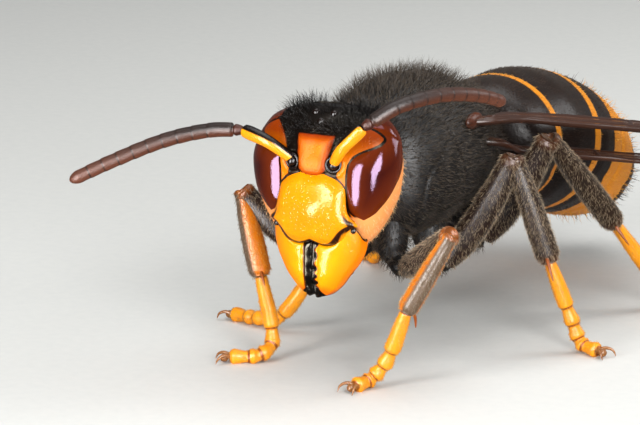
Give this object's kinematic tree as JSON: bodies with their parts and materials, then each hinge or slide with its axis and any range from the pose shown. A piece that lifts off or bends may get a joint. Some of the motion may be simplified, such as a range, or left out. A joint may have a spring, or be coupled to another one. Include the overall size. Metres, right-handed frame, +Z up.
{
  "type": "asian hornet",
  "caption": "Life-size still model of a worker asian hornet, standing on its six feet with wings folded back, jaws shut and feelers apart.",
  "frame": {"origin": "on the floor, under the middle of the outline seen from above", "axes": "+Z up from the floor, head towards -Y, the hornet's left side towards +X"},
  "size_m": [0.0156, 0.0278, 0.0101],
  "materials": {
    "shell_black": "velvety black shell",
    "shell_brown": "satin dark brown shell",
    "shell_yellow": "glossy yellow-orange shell",
    "shell_orange": "glossy orange shell",
    "eye_brown": "glossy dark red-brown",
    "feeler_brown": "matt dark brown",
    "wing_membrane": "smoky satin",
    "leg_yellow": "satin yellow-orange"
  },
  "bodies": {
    "root": {"clypeus": "shell_yellow", "eye_l": "eye_brown", "eye_r": "eye_brown", "flagellum_l": "feeler_brown", "flagellum_r": "feeler_brown", "fore_leg_l_coxa": "shell_black", "fore_leg_l_femur": "shell_brown", "fore_leg_l_tarsus": "leg_yellow", "fore_leg_l_tibia": "leg_yellow", "fore_leg_r_coxa": "shell_black", "fore_leg_r_femur": "shell_brown", "fore_leg_r_tarsus": "leg_yellow", "fore_leg_r_tibia": "leg_yellow", "fore_wing_l": "wing_membrane", "fore_wing_r": "wing_membrane", "gaster_1": "shell_brown", "gaster_2": "shell_brown", "gaster_3": "shell_brown", "gaster_4": "shell_brown", "gaster_5": "shell_brown", "gaster_6": "shell_brown", "head": "shell_black", "hind_leg_l_coxa": "shell_black", "hind_leg_l_femur": "shell_brown", "hind_leg_l_tarsus": "leg_yellow", "hind_leg_l_tibia": "shell_brown", "hind_leg_r_coxa": "shell_black", "hind_leg_r_femur": "shell_brown", "hind_leg_r_tarsus": "leg_yellow", "hind_leg_r_tibia": "shell_brown", "hind_wing_l": "wing_membrane", "hind_wing_r": "wing_membrane", "mandible_l": "shell_yellow", "mandible_r": "shell_yellow", "mesothorax": "shell_black", "mid_leg_l_coxa": "shell_black", "mid_leg_l_femur": "shell_brown", "mid_leg_l_tarsus": "leg_yellow", "mid_leg_l_tibia": "shell_brown", "mid_leg_r_coxa": "shell_black", "mid_leg_r_femur": "shell_brown", "mid_leg_r_tarsus": "leg_yellow", "mid_leg_r_tibia": "shell_brown", "mouthparts": "shell_brown", "neck": "shell_black", "pronotum": "shell_black", "propodeum": "shell_black", "scape_l": "shell_yellow", "scape_r": "shell_yellow", "scutellum": "shell_black", "tegula_l": "shell_orange", "tegula_r": "shell_orange"}
  },
  "joints": []
}
